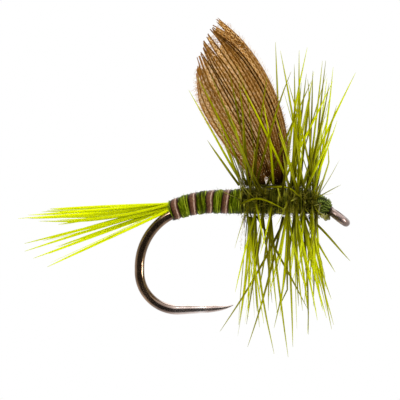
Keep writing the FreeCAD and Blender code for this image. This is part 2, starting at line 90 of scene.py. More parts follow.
WHIP_FINISH = {"back": -0.50, "pitch": 0.07, "turns": 4, "radii": (0.50, 0.40), "thread": 0.064}
CEMENT_DROPS = (((-0.72, -0.03, 0.02), 0.20), ((-0.93, 0.02, 0.13), 0.17))  # centre and radius
STEM_BUTTS = ((262, -0.02, 0.30), (285, -0.14, 0.26))                     # clock, back, length
STEM_BUTT_HEIGHT = 0.68
STEM = 0.14
STEM_RADIUS = THORAX_RADIUS + 0.045 + STEM / 2
HACKLE_PITCH = 0.47


# ---- the wire and the body round it

def wire_legs():
    """The wire's centre line from the ring: straight lengths and (radius, turn) arcs."""
    neck = SHANK_RISE / sin(radians(EYE_TURN_DOWN)) - EYE_RING / 2
    neck -= EYE_BEND_RADIUS * tan(radians(EYE_TURN_DOWN / 2))
    return [
        neck, (EYE_BEND_RADIUS, EYE_TURN_DOWN), SHANK_STRAIGHT,
        DROOP, UPPER_BEND, BACK_STRAIGHT, LOWER_BEND, SPEAR,
    ]


LEGS = wire_legs()


def leg_length(leg):
    return leg[0] * radians(leg[1]) if isinstance(leg, tuple) else leg


NECK_BACK = -leg_length(LEGS[0]) - leg_length(LEGS[1])
SPEAR_BACK = NECK_BACK + sum(leg_length(leg) for leg in LEGS)


def heading_to(angle):
    return np.array([cos(angle), 0.0, sin(angle)])


def along_leg(point, heading, leg, part):
    """The point and heading a part of the way along a leg."""
    if not isinstance(leg, tuple):
        return point + heading_to(heading) * (leg * part), heading
    radius, turn = leg
    after = heading + radians(turn) * part
    return point + (heading_to(heading + pi / 2) - heading_to(after + pi / 2)) * radius, after


def on_wire(back):
    """The wire's centre at a distance back, with the forward and upward directions there."""
    down = radians(EYE_TURN_DOWN)
    heading = pi - down
    point = heading_to(heading) * (EYE_RING / 2)
    left = back - NECK_BACK
    for n, leg in enumerate(LEGS):
        length = leg_length(leg)
        if left <= length or n == len(LEGS) - 1:
            point, heading = along_leg(point, heading, leg, left / length)
            break
        left -= length
        point, heading = along_leg(point, heading, leg, 1.0)
    return point, heading_to(heading + pi), heading_to(heading - pi / 2)


def around_wire(back, radius, clock, rise=0.0):
    """A point round the wire, and the direction out of it there."""
    centre, _, up = on_wire(back)
    turned = radians(clock)
    out = up * sin(turned) - Y_AXIS * cos(turned)
    return centre + up * rise + out * radius, out


def round_wire(places):
    """The points and outward directions for a row of (back, radius, clock, rise) places."""
    found = [around_wire(*place) for place in places]
    return np.array([point for point, _ in found]), np.array([out for _, out in found])


def share(value):
    """A value kept between 0 and 1."""
    return min(max(value, 0.0), 1.0)


def body_shape(back):
    """The abdomen's radius and rise at a distance back."""
    part = share((BODY_TAIL_END - back) / (BODY_TAIL_END - BODY_FRONT_END))
    radius = BODY_RADII[0] + (BODY_RADII[1] - BODY_RADII[0]) * part ** 0.75
    return radius, BODY_RISES[0] * (1 - part) ** 2 + BODY_RISES[1] * part ** 2


def table_shape(stations):
    """A function for the radius and rise at a distance back, between a lofted body's stations."""
    backs, radii, rises = np.transpose(stations)
    return lambda back: (float(np.interp(-back, -backs, radii)), float(np.interp(-back, -backs, rises)))


thorax_shape = table_shape(THORAX_SHAPE)
head_shape = table_shape(HEAD_SHAPE)


# ---- curves and meshes

def unit(vectors):
    return vectors / np.maximum(np.linalg.norm(vectors, axis=-1, keepdims=True), 1e-9)


def smooth(points, count):
    """Points along a curve through the given ones."""
    points = np.asarray(points, float)
    ends = np.vstack([2 * points[0] - points[1], points, 2 * points[-1] - points[-2]])
    out = []
    for place in np.linspace(0, len(points) - 1, count):
        k = min(int(place), len(points) - 2)
        t = place - k
        a, b, c, d = ends[k:k + 4]
        out.append(b + 0.5 * t * (c - a + t * (2 * a - 5 * b + 4 * c - d + t * (3 * (b - c) + d - a))))
    return np.array(out)


def straight(root, way, length, count):
    """Points along a straight line out from a root."""
    return root + np.outer(length * np.linspace(0, 1, count), way)


def wander(rng, count, size):
    """A smooth random sideways wander along a fibre, nothing at its root."""
    t = np.linspace(0, 1, count)
    total = np.zeros((count, 3))
    for axis in range(3):
        for wave in (1, 2, 3):
            height = rng.gauss(0, size / wave)
            total[:, axis] += height * np.sin(wave * 2.6 * t + rng.uniform(0, 6.3))
    return (total - total[0]) * np.minimum(t * 4, 1)[:, None]


def quads(rows, columns, closed=False):
    """The faces of a grid of points, row after row."""
    faces = []
    for row in range(rows - 1):
        for k in range(columns if closed else columns - 1):
            a, b = row * columns + k, row * columns + (k + 1) % columns
            faces.append((a, b, b + columns, a + columns))
    return faces


def added(name, data, place=(0, 0, 0)):
    """A new object in the scene."""
    obj = bpy.data.objects.new(name, data)
    obj.location = place
    bpy.context.scene.collection.objects.link(obj)
    return obj


class Weave:
    """Tubes, ribbons and sheets gathered into one mesh, with values that its materials read:
    how far along a fibre a point is, how far across it, and the fibre's own tint."""

    def __init__(self):
        self.points, self.faces, self.looks = [], [], []
        self.values = {"along": [], "across": [], "tint": []}
        self.count = 0

    def add(self, points, faces, along, across, tint, look=0):
        size = len(points)
        self.points.append(points)
        self.faces += [tuple(corner + self.count for corner in face) for face in faces]
        self.looks += [look] * len(faces)
        for name, value in (("along", along), ("across", across), ("tint", tint)):
            self.values[name].append(np.broadcast_to(np.asarray(value, float), (size,)))
        self.count += size

    def tube(self, path, radii, sides=6, tint=0.5, flat=1.0, out=None, look=0, along=None):
        """A strand along a path. Out is the direction, or one for each point, of its thin side."""
        path = np.asarray(path, float)
        rows = len(path)
        radii = np.broadcast_to(np.asarray(radii, float), (rows,))
        run = unit(np.gradient(path, axis=0))
        hint = np.array([0.13, 0.31, 0.94]) if out is None else np.asarray(out, float)
        side = unit(np.cross(np.broadcast_to(hint, (rows, 3)), run))
        over = np.cross(run, side)
        turned = 2 * pi * np.arange(sides) / sides
        ring = side[:, None] * np.cos(turned)[None, :, None]
        ring = ring + over[:, None] * (np.sin(turned) * flat)[None, :, None]
        points = (path[:, None] + ring * radii[:, None, None]).reshape(-1, 3)
        faces = quads(rows, sides, True)
        faces.append(tuple(range(sides - 1, -1, -1)))
        faces.append(tuple((rows - 1) * sides + k for k in range(sides)))
        way = np.linspace(0, 1, rows) if along is None else np.asarray(along, float)
        across = np.tile(np.cos(turned), rows)
        self.add(points, faces, np.repeat(way, sides), across, tint, look)

    def ribbon(self, path, widths, tint=0.5, out=Y_AXIS, look=0):
        """A flat strand whose face looks along the out direction."""
        path = np.asarray(path, float)
        rows = len(path)
        side = unit(np.cross(np.broadcast_to(out, (rows, 3)), unit(np.gradient(path, axis=0))))
        side = side * (np.broadcast_to(np.asarray(widths, float), (rows,)) / 2)[:, None]
        points = np.stack([path - side, path + side], axis=1).reshape(-1, 3)
        way = np.repeat(np.linspace(0, 1, rows), 2)
        self.add(points, quads(rows, 2), way, np.tile([-1.0, 1.0], rows), tint, look)

    def sheet(self, grid, tint=0.5, closed=False, look=0, along=None):
        """A skin over a grid of points: rows along the fibre, columns across it."""
        rows, columns = grid.shape[:2]
        faces = quads(rows, columns, closed)
        way = np.linspace(0, 1, rows) if along is None else along
        across = np.tile(np.linspace(-1, 1, columns), rows)
        self.add(grid.reshape(-1, 3), faces, np.repeat(way, columns), across, tint, look)

    def piece(self, name, looks, nodes, slot):
        """Makes the mesh, in metres, sets it on the root body and hides the CAD nodes that it stands for.
        """
        mesh = bpy.data.meshes.new(name)
        mesh.from_pydata((np.vstack(self.points) * MM).tolist(), [], self.faces)
        for key, parts in self.values.items():
            layer = mesh.attributes.new(key, "FLOAT", "POINT")
            layer.data.foreach_set("value", np.concatenate(parts).astype(np.float32))
        mesh.polygons.foreach_set("use_smooth", [True] * len(mesh.polygons))
        mesh.polygons.foreach_set("material_index", self.looks)
        for look in looks:
            mesh.materials.append(look)
        mesh.update()
        obj = added(name, mesh)
        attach(obj, "root")
        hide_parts(*nodes)


def layers_from(links, start):
    """The points of a fibre by how many edges they are from one of them."""
    seen, layer, layers = {start}, [start], []
    while layer:
        layers.append(layer)
        layer = sorted({b for a in layer for b in links[a]} - seen)
        seen.update(layer)
    return layers


def fibres_of(name):
    """The centre line, root first, of each four-sided fibre of a CAD node, with its half widths."""
    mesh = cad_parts[name].data
    flat = np.empty(len(mesh.vertices) * 3, np.float32)
    mesh.vertices.foreach_get("co", flat)
    places, index = np.unique(np.round(flat.reshape(-1, 3) / MM, 4), axis=0, return_inverse=True)
    index = index.ravel()
    links = [set() for _ in places]
    for polygon in mesh.polygons:
        corners = [int(index[v]) for v in polygon.vertices]
        for corner in corners:
            links[corner].update(corners)
    fibres, used = [], set()
    for start in range(len(places)):
        if start in used:
            continue
        group = [point for layer in layers_from(links, start) for point in layer]
        used.update(group)
        best = None
        for point in group:
            layers = layers_from(links, point)
            if {len(layer) for layer in layers[1:]} == {4}:
                reach = np.linalg.norm(places[layers[-1]].mean(axis=0) - places[point])
                if best is None or reach > best[0]:
                    best = (reach, layers)
        rings = [places[layer] for layer in best[1][::-1]]
        path = np.array([ring.mean(axis=0) for ring in rings])
        halves = [float(np.linalg.norm(ring - ring.mean(axis=0), axis=1).max()) for ring in rings]
        fibres.append((path, halves))
    return fibres


# ---- materials

def colour(code):
    """A linear colour from its hexadecimal name."""
    parts = [int(code[k:k + 2], 16) / 255 for k in (0, 2, 4)]
    return [p / 12.92 if p <= 0.04045 else ((p + 0.055) / 1.055) ** 2.4 for p in parts] + [1.0]


class Nodes:
    """The nodes of a material or a world, made with short calls."""

    def __init__(self, owner):
        owner.use_nodes = True
        self.tree = owner.node_tree

    def node(self, kind, inputs=None, **settings):
        made = self.tree.nodes.new(kind)
        for key, value in settings.items():
            setattr(made, key, value)
        for key, value in (inputs or {}).items():
            if isinstance(value, bpy.types.NodeSocket):
                self.tree.links.new(value, made.inputs[key])
            else:
                made.inputs[key].default_value = value
        return made

    def sum(self, operation, a, b=0.0):
        """A sum of two values, such as MULTIPLY or ADD, or of one, such as SINE."""
        return self.node("ShaderNodeMath", {0: a, 1: b}, operation=operation).outputs[0]


class Look(Nodes):
    """A procedural material. Gloss is a specular level and its tint."""

    def __init__(self, name, roughness, gloss=None, **sockets):
        self.material = bpy.data.materials.new(name)
        super().__init__(self.material)
        self.shader = self.tree.nodes["Principled BSDF"]
        sockets["Roughness"] = roughness
        if gloss:
            sockets["Specular_IOR_Level"], sockets["Specular_Tint"] = gloss[0], colour(gloss[1])
        for socket, value in sockets.items():
            self.shader.inputs[socket.replace("_", " ")].default_value = value

    def value(self, name):
        """One of the mesh's own values."""
        return self.node("ShaderNodeAttribute", attribute_name=name).outputs["Fac"]

    def noise(self, scale, detail, vector=None, distortion=0.0):
        place = vector or self.node("ShaderNodeTexCoord").outputs["Object"]
        made = self.node("ShaderNodeTexNoise", {
            "Vector": place, "Scale": scale, "Detail": detail, "Distortion": distortion,
        })
        return made.outputs["Fac"]

    def streaks(self, along, across, tint, detail=2):
        """Noise placed by the mesh's own values, so its marks follow each fibre."""
        places = {}
        for axis, name, scale in (("X", "along", along), ("Y", "across", across), ("Z", "tint", tint)):
            places[axis] = self.sum("MULTIPLY", self.value(name), scale)
        return self.noise(1.0, detail, self.node("ShaderNodeCombineXYZ", places).outputs["Vector"])

    def wave(self, angle):
        """A sine wave between 0 and 1."""
        return self.sum("MULTIPLY", self.sum("ADD", self.sum("SINE", angle), 1.0), 0.5)

    def blend(self, first, second, part):
        """A part of the way from the first value to the second."""
        a = self.sum("MULTIPLY", first, 1.0 - part)
        return self.sum("ADD", a, self.sum("MULTIPLY", second, part))

    def ramp(self, factor, stops):
        """A colour by a value, from (place, colour) stops."""
        made = self.node("ShaderNodeValToRGB", {"Fac": factor})
        elements = made.color_ramp.elements
        while len(elements) < len(stops):
            elements.new(0.5)
        for element, (place, code) in zip(elements, stops):
            element.position = place
            element.color = colour(code)
        return made.outputs["Color"]

    def ramp_along(self, *stops):
        """A colour by how far along its fibre a point is."""
        return self.ramp(self.value("along"), stops)

    def mix(self, factor, first, second, kind="MIX"):
        """Two colours mixed. The numbers are those of the node's own sockets for colours."""
        sockets = {0: factor, 6: first, 7: colour(second) if isinstance(second, str) else second}
        return self.node("ShaderNodeMix", sockets, data_type="RGBA", blend_type=kind).outputs[2]

    def paint(self, base, roughness=None):
        self.tree.links.new(base, self.shader.inputs["Base Color"])
        if roughness:
            self.tree.links.new(roughness, self.shader.inputs["Roughness"])

    def bump(self, height, depth, strength):
        """Relief of a depth in millimetres."""
        settings = {"Height": height, "Strength": strength, "Distance": depth * MM}
        made = self.node("ShaderNodeBump", settings)
        self.tree.links.new(made.outputs["Normal"], self.shader.inputs["Normal"])


def bronze():
    """Dark bronzed wire: browner at the eye and pale along the spear, both painted reflection that stands
    in for brighter reflections there.
    """
    look = Look("bronzed_wire", 0.18, Metallic=0.95, Coat_Weight=0.3, Coat_Roughness=0.08)
    rubbed = look.noise(900, 4)
    fine = look.noise(5200, 3)
    eye = look.ramp_along((0.05, "ffffff"), (0.10, "000000"))
    dark = look.ramp(rubbed, [(0.32, "5a4636"), (0.54, "80664e"), (0.74, "b4947a")])
    # Painted reflection: the eye's colours and the spear's pale ones stand in for the brighter reflections
    # on them.
    painted_eye_reflection = look.ramp(rubbed, [(0.32, "3c302c"), (0.5, "7c6860"), (0.68, "c0a8a0")])
    pale = look.ramp(rubbed, [(0.30, "9a847a"), (0.5, "c8b6ae"), (0.70, "f0e6e2")])
    spear = look.ramp_along((0.76, "000000"), (0.84, "ffffff"))
    glint = look.ramp_along((0.90, "000000"), (0.925, "ffffff"), (0.965, "000000"))
    rough = look.sum("ADD", look.sum("MULTIPLY", fine, 0.14), 0.08)
    matt = look.sum("MULTIPLY", look.sum("MAXIMUM", eye, glint), 0.22)
    look.paint(look.mix(eye, look.mix(spear, dark, pale), painted_eye_reflection), look.sum("ADD", rough, matt))
    look.bump(fine, 0.004, 0.35)
    return look.material


def floss(name, dark, middle, light, patchy=0.0):
    """Loose wound floss: every strand its own shade, with streaks along it, and dark patches."""
    look = Look(name, 0.55, (0.15, light))
    streaks = look.streaks(34, 2.5, 60, 3)
    shade = look.blend(look.value("tint"), streaks, 0.42)
    patches = look.ramp(look.noise(800, 3), [(0.42, "1c2a14"), (0.52, "90a080"), (0.60, "ffffff")])
    strands = look.ramp(shade, [(0.22, dark), (0.5, middle), (0.80, light)])
    look.paint(look.mix(patchy, strands, patches, "MULTIPLY"))
    look.bump(streaks, 0.02, 0.5)
    return look.material


def quill():
    """Stripped quill: a brown strip with a dark rear edge, a pale line ahead of its middle, and painted
    shadow darkening its front edge.
    """
    look = Look("brown_quill", 0.38, (0.2, "c09070"))
    across = look.blend(look.value("across"), look.streaks(30, 1.0, 5), 0.08)
    band = look.sum("ADD", look.sum("MULTIPLY", across, 0.5), 0.5)
    # From the rear edge (0) to the front edge (1); the dark stops at the front edge are painted shadow.
    strip = look.ramp(band, [
        (0.0, "0c0502"), (0.17, "1e1008"), (0.30, "5c3a28"), (0.47, "74503c"), (0.59, "8c6450"),
        (0.67, "e0c0aa"), (0.75, "7c5440"), (0.86, "2c1a10"), (1.0, "0a0502"),
    ])
    mottle = look.streaks(160, 9.0, 5, 4)
    speckled = look.ramp(mottle, [(0.32, "6a6a6a"), (0.66, "ffffff")])
    look.paint(look.mix(0.85, strip, speckled, "MULTIPLY"))
    look.bump(mottle, 0.012, 0.5)
    return look.material


def feather(name, stops, roughness=0.4, grain=0.35):
    """Feather fibre: coloured by its tint, with fine flecks along it."""
    look = Look(name, roughness, (0.18, stops[-1][1]))
    flecks = look.streaks(12, 0.8, 90)
    shade = look.blend(look.value("tint"), flecks, grain)
    look.paint(look.ramp(shade, stops))
    look.bump(flecks, 0.006, 0.2)
    return look.material


def hackle():
    """Dyed hackle: bright olive, darkened towards the root by painted shade where the barbs crowd, and
    lightened towards the tip by painted light, for thin tips lit from behind.
    """
    look = Look("hackle_barb", 0.45, (0.07, "d8d040"))
    flecks = look.streaks(9, 0.6, 90)
    shade = look.blend(look.value("tint"), flecks, 0.2)
    bright = look.ramp(shade, [
        (0.16, "484200"), (0.34, "6c6800"), (0.48, "8e8e00"), (0.62, "b0b400"), (0.78, "d6e200"),
        (0.93, "cfcf9a"),
    ])
    # Painted light: the colour is mixed towards a light yellow green along the barb, for thin tips lit
    # from behind.
    tip = look.ramp_along((0.45, "000000"), (1.0, "8c8c8c"))
    # Painted shade: the colour is darkened towards the root, where the barbs crowd.
    way = look.ramp_along((0.0, "5a5428"), (0.18, "aaa670"), (0.42, "ffffff"))
    look.paint(look.mix(0.85, look.mix(tip, bright, "c2c80c"), way, "MULTIPLY"))
    look.bump(flecks, 0.01, 0.4)
    return look.material


# Painted shade: the wing is darkened at its base, where it stands on the thorax.
WING_FOOT_SHADE = ((0.05, "303030"), (0.22, "ffffff"))


def wing_barb():
    """The wing's barbs: dark brown, paler towards their tips, and darkened low on the slip by painted
    shade.
    """
    look = Look("wing_barb", 0.5, (0.18, "c09060"))
    flecks = look.streaks(40, 0.8, 90)
    shade = look.blend(look.value("tint"), flecks, 0.35)
    brown = look.ramp(shade, [(0.2, "3a1e02"), (0.5, "5e3806"), (0.8, "906224")])
    tip = look.ramp_along((0.88, "000000"), (1.0, "a0a0a0"))
    # Painted shade at the wing's base.
    foot = look.ramp_along(*WING_FOOT_SHADE)
    look.paint(look.mix(1.0, look.mix(tip, brown, "a87434"), foot, "MULTIPLY"))
    look.bump(flecks, 0.01, 0.4)
    return look.material


def vane():
    """The wing's vane between two barbs: golden, hatched both ways by barbules, and darkened low on the
    slip by painted shade.
    """
    look = Look("wing_vane", 0.55, (0.15, "ecc07c"))
    along = look.sum("MULTIPLY", look.value("along"), 190.0)
    across = look.sum("MULTIPLY", look.value("across"), 7.0)
    hatch = [look.wave(look.sum(way, along, across)) for way in ("ADD", "SUBTRACT")]
    crossed = look.sum("MAXIMUM", *hatch)
    mottle = look.noise(420, 4)
    shade = look.blend(look.blend(crossed, mottle, 0.45), look.value("tint"), 0.2)
    gold = look.ramp(shade, [(0.22, "381a00"), (0.40, "6e3e02"), (0.58, "a86e24"), (0.76, "f4cc8a")])
    aside = look.sum("ABSOLUTE", look.value("across"))
    edge = look.ramp(aside, [(0.45, "ffffff"), (0.95, "9a8460")])
    # Painted shade at the wing's base.
    foot = look.ramp_along(*WING_FOOT_SHADE)
    look.paint(look.mix(1.0, look.mix(1.0, gold, edge, "MULTIPLY"), foot, "MULTIPLY"))
    look.bump(crossed, 0.03, 0.7)
    return look.material


def thread(name, dark, middle, light):
    """Waxed thread with the twist of its filaments."""
    look = Look(name, 0.38, (0.25, "c8d080"))
    twist = look.sum("ADD", look.sum("MULTIPLY", look.value("along"), 500.0), look.value("across"))
    ply = look.wave(twist)
    blot = look.noise(1600, 3)
    shade = look.blend(look.blend(ply, blot, 0.55), look.value("tint"), 0.3)
    look.paint(look.ramp(shade, [(0.25, dark), (0.5, middle), (0.78, light)]))
    look.bump(ply, 0.012, 0.6)
    return look.material


def varnish():
    """Set head cement, cloudy yellow olive and glossy."""
    look = Look("varnish", 0.09, Coat_Weight=0.6, IOR=1.5)
    cloud = look.noise(2600, 4, distortion=0.6)
    look.paint(look.ramp(cloud, [(0.3, "3c3a10"), (0.5, "7c7830"), (0.7, "d8d090")]))
    look.bump(look.noise(1500, 2), 0.03, 0.4)
    return look.material


# ---- the hook

def hook_piece():
    """The tapered ring, the neck, the shank, the bend and the ground point, as one wire."""
    weave = Weave()
    down = radians(EYE_TURN_DOWN)
    rearward, axis = heading_to(pi - down), heading_to(pi / 2 - down)
    gap = asin((WIRE / 2 + EYE_GAP) / (EYE_RING / 2))
    turns = np.linspace(0.10, 2 * pi - gap, 90)
    ring = np.array([rearward * cos(t) - Y_AXIS * sin(t) for t in turns])
    radii = EYE_WIRE / 2 * (1 - 0.10 * np.clip((turns - 5.0) / 0.7, 0, 1) ** 2)
    end = np.clip((turns - turns[-1] + 0.05) / 0.05, 0, 1)
    radii = radii * (1 - 0.5 * end ** 2)
    weave.tube(ring * (EYE_RING / 2), radii, 28, 0.4, out=axis, along=np.full(90, 0.0))
    # The bore's wall is straight: the ring's inside comes no nearer to the axis than the bore's radius.
    points = weave.points[0]
    height = points @ axis
    flat = points - height[:, None] * axis
    reach = np.linalg.norm(flat, axis=1)
    grown = np.maximum(reach, EYE_BORE / 2) / np.maximum(reach, 1e-6)
    weave.points[0] = flat * grown[:, None] + height[:, None] * axis
    path, radii = [], []
    total = SPEAR_BACK + POINT - NECK_BACK
    for back in np.linspace(NECK_BACK, SPEAR_BACK, 420):
        path.append(on_wire(back)[0])
        neck = share((back - NECK_BACK) / leg_length(LEGS[0]))
        spear = share((back - SPEAR_BACK) / SPEAR + 1)
        radii.append(EYE_WIRE / 2 + (WIRE - EYE_WIRE) / 2 * neck - (WIRE - SPEAR_WIRE) / 2 * spear)
    tip, forward, up = on_wire(SPEAR_BACK)
    for part in np.linspace(0.02, 1.0, 44):
        path.append(tip - forward * (POINT * part) - up * (POINT_LIFT * part ** 4))
        radii.append(SPEAR_WIRE / 2 + (TIP_RADIUS - SPEAR_WIRE / 2) * part ** 1.6)
    path = np.array(path)
    way = np.concatenate([[0], np.cumsum(np.linalg.norm(np.diff(path, axis=0), axis=1))]) / total
    weave.tube(path, radii, 36, 0.5, out=Y_AXIS, along=way)
    weave.piece("hook_wire", [bronze()], ["hook"], "bronzed_wire")


# ---- the body

def lathe(shape, first, last, rows, columns, relief):
    """A skin round the wire between two distances back, with a relief added to its radius."""
    grid = np.zeros((rows, columns, 3))
    for row in range(rows):
        for column in range(columns):
            clock = 360 * column / columns
            end = last(clock) if callable(last) else last
            back = first + (end - first) * row / (rows - 1)
            radius, rise = shape(back)
            grid[row, column] = around_wire(back, radius + relief(back, clock), clock, rise)[0]
    return grid


def rib_middle(turn):
    """The strip's middle after some turns. It gains more on the far side than on the near one."""
    gain = RIB_PITCH[0] * RIB_SWAY / (2 * pi) * sin(2 * pi * turn)
    return RIB_FRONT + RIB_PITCH[0] * turn + RIB_PITCH[1] * turn * turn - gain


def rib_distance(back, clock):
    """How far, in widths of the strip, a place on the body is from the middle of the nearest band."""
    best = 9.0
    for whole in range(-5, 3):
        turn = -clock / 360 - whole
        if RIB_TURNS[1] - 0.1 <= turn <= RIB_TURNS[0] + 0.1:
            best = min(best, abs(back - rib_middle(turn)) / RIB_WIDTH)
    return best


def sunk(depth):
    """An even relief, below the body's own radius."""
    return lambda back, clock: -depth


def puff(back, clock):
    """The floss bulges between the bands of quill and is pressed down under them."""
    gap = rib_distance(back, clock)
    return 0.065 * share((gap - 0.45) / 0.3) - 0.02


def floss_end(clock):
    """The abdomen's tail end, cut back on top to the rear edge of the first band."""
    return BODY_TAIL_END - 0.18 * max(sin(radians(clock)), 0.0) ** 2


def floss_strands(weave, rng, shape, ends, count, relief, lift, thick, turns, slope, last=None):
    """Strands of floss laid round a body, each over part of a turn, with painted shade darkening those
    beside the bands.
    """
    for _ in range(count):
        back = rng.uniform(*ends)
        clock = rng.uniform(0, 360)
        sweep = 360 * rng.uniform(*turns)
        drift = rng.gauss(0, slope)
        steps = max(int(sweep / 9), 8)
        places = []
        over = rng.uniform(*lift)
        for part in np.linspace(0, 1, steps):
            turned = clock + sweep * part
            far = last(turned) if last else ends[1]
            at = min(max(back - 0.10 * sweep / 360 * part + drift * part, ends[0]), far)
            radius, rise = shape(at)
            radius += relief(at, turned % 360) + over * sin(pi * part) ** 0.5
            places.append((at, radius, turned, rise))
        path, outs = round_wire(places)
        radii = rng.uniform(*thick) * np.sin(np.linspace(0.25, pi - 0.25, steps)) ** 0.6
        tint = rng.random()
        # Painted shade: strands close to a quill band are darkened, for the shadow beside the band.
        if last:
            gap = rib_distance(back, clock + sweep / 2)
            tint *= 0.5 + 0.5 * share((gap - 0.5) / 0.25)
        weave.tube(path, radii, 5, tint, 0.6, outs)


def fuzz(weave, rng, shape, ends, count, lengths, thick=0.008):
    """Loose hairs that stand off a body."""
    for _ in range(count):
        back, clock = rng.uniform(*ends), rng.uniform(0, 360)
        radius, rise = shape(back)
        root, out = around_wire(back, radius, clock, rise)
        _, forward, up = on_wire(back)
        around = np.cross(forward, out)
        run = unit(out * rng.uniform(0.3, 1.0) + around * rng.uniform(-1, 1) + forward * rng.gauss(0, 0.5))
        length = rng.uniform(*lengths)
        path = straight(root, run, length, 6) + wander(rng, 6, length * 0.12)
        weave.tube(path, np.linspace(thick, thick * 0.4, 6), 3, rng.random())


def abdomen_piece():
    weave, rng = Weave(), random.Random(1)
    ends = (BODY_FRONT_END, BODY_TAIL_END)
    skin = lathe(body_shape, ends[0], floss_end, 150, 72, lambda b, c: puff(b, c) - 0.02)
    weave.sheet(skin, 0.15, closed=True)
    floss_strands(weave, rng, body_shape, ends, 700, puff, (0.0, 0.045), (0.012, 0.036), (0.15, 0.8),
                  0.16, floss_end)
    fuzz(weave, rng, body_shape, ends, 260, (0.06, 0.24), 0.009)
    weave.piece("abdomen_floss_wraps", [floss("green_floss", "262600", "5a6c04", "a8b42c")],
                ["abdomen_floss"], "green_floss")


def rib_piece():
    """The quill strip: slightly domed, with feathered edges."""
    weave, rng = Weave(), random.Random(2)
    first, last = RIB_TURNS
    rows, columns = 420, 13
    offsets = np.linspace(0.5, -0.5, columns)
    grid = np.zeros((rows, columns, 3))
    for row in range(rows):
        turn = first + (last - first) * row / (rows - 1)
        middle = rib_middle(turn)
        wave = 0.012 * sin(row * 0.21) + rng.gauss(0, 0.002)
        for k, offset in enumerate(offsets):
            at = middle + offset * RIB_WIDTH + wave
            radius, rise = body_shape(at)
            dome = RIB_THICKNESS * (1 - (2 * offset) ** 6) ** 0.5 if abs(offset) < 0.5 else -0.02
            ridge = 0.012 * cos(offset * 25)
            grid[row, k] = around_wire(at, radius + dome + ridge, -360 * turn, rise)[0]
    weave.sheet(grid, 0.5)
    weave.piece("rib_quill_strip", [quill()], ["rib_quill"], "brown_quill")


def rib_tag_piece(look):
    """The strip's clipped end, with a split tip."""
    weave, rng = Weave(), random.Random(3)
    (path, halves), = fibres_of("rib_tag")
    rows, splinters = 14, 5
    for _ in range(splinters):
        line = smooth(path, rows) + wander(rng, rows, 0.018)
        line = line + np.array([rng.uniform(-0.03, 0.03), rng.uniform(-0.02, 0.02), 0])
        line = line[:rng.randint(9, rows)]
        weave.tube(line, np.linspace(halves[0] * 0.55, 0.010, len(line)), 6, rng.random(), 0.7)
    weave.piece("rib_tag_stub", [look], ["rib_tag"], "brown_quill")


def lumps(back, clock):
    """The thorax floss is uneven under the hackles."""
    return 0.045 * sin(4.7 * back + 1.3) * sin(radians(3 * clock) + 2.1 * back)


def thorax_piece():
    weave, rng = Weave(), random.Random(4)
    ends = (-0.10, 4.54)
    weave.sheet(lathe(thorax_shape, *ends, 110, 60, sunk(0.02)), 0.2, closed=True)
    floss_strands(weave, rng, thorax_shape, ends, 420, lumps, (0.0, 0.03), (0.014, 0.036),
                  (0.2, 0.9), 0.14)
    fuzz(weave, rng, thorax_shape, ends, 420, (0.1, 0.36), 0.017)
    weave.piece("thorax_floss_wraps",
                [floss("thorax_floss", "141400", "625f0c", "d0c844", patchy=0.85)],
                ["thorax_floss"], "thorax_floss")


def wound_path(back, pitch, turns, radii, rise, steps=48):
    """A helix round the shank towards the eye, with its outward directions."""
    count = round(turns * steps)
    return round_wire(
        (back - pitch * (n / steps), radii[0] + (radii[1] - radii[0]) * n / count,
         360 * (n / steps), rise)
        for n in range(count + 1)
    )


def underbody_piece(look):
    """The first layer of thread, wound in touching turns."""
    weave = Weave()
    first, last = UNDERBODY_ENDS
    turn_steps = 20
    count = int((first - last) / THREAD) * turn_steps
    path, outs = round_wire(
        (first - (first - last) * n / count, UNDERBODY - THREAD / 2, 360 / turn_steps * n)
        for n in range(count)
    )
    weave.tube(path, THREAD / 2, 6, 0.4, 1.0, outs)
    weave.piece("underbody_thread", [look], ["thread_underbody"], "silk_thread")


def bound_butts(name, node, look, slot, backs, half_width, height, count, seed):
    """A pressed bundle of fibre ends on top of the underbody."""
    weave, rng = Weave(), random.Random(seed)
    for _ in range(count):
        sideways = rng.uniform(-1, 1) * half_width
        over = rng.uniform(0.02, 0.9) * height
        path = []
        for back in np.linspace(*backs, 18):
            centre, _, up = on_wire(back)
            part = (back - backs[0]) / (backs[1] - backs[0])
            path.append(centre + up * (UNDERBODY + 0.01 + over * (1 - 0.45 * part))
                        + Y_AXIS * sideways * (1 - 0.35 * part))
        weave.tube(np.array(path), 0.028, 6, rng.random(), 0.8)
    weave.piece(name, [look], [node], slot)


# ---- the hackles

def stem_piece(name, node, back, turns, look):
    """A hackle's stem wound round the thorax, with the stubs of stripped barbs on its sides."""
    weave, rng = Weave(), random.Random(len(name))
    start = back + HACKLE_PITCH / 2
    path, outs = wound_path(start, HACKLE_PITCH, turns, (STEM_RADIUS, STEM_RADIUS), THORAX_RISE)
    count = len(path)
    wobble = np.array([0.012 * sin(0.37 * n) for n in range(count)])
    radii = np.linspace(STEM / 2, STEM * 0.40, count) * (1 + 0.06 * np.sin(np.arange(count) * 0.9))
    weave.tube(path + outs * wobble[:, None], radii, 10, 0.5, 0.85, outs)
    for _ in range(turns * 90):
        n = rng.randrange(2, count - 2)
        run = unit(path[n + 1] - path[n - 1])
        side = unit(np.cross(outs[n], run)) * rng.choice((-1, 1))
        way = unit(side * 0.8 + outs[n] * rng.uniform(0.2, 0.8) + run * rng.uniform(-0.3, 0.5))
        root = path[n] + outs[n] * 0.03
        length = rng.uniform(0.12, 0.36)
        line = straight(root, way, length, 5) + wander(rng, 5, length * 0.2)
        weave.tube(line, np.linspace(0.022, 0.008, 5), 3, rng.uniform(0.5, 1.0))
    weave.piece(name, [look], [node], "hackle_stem")


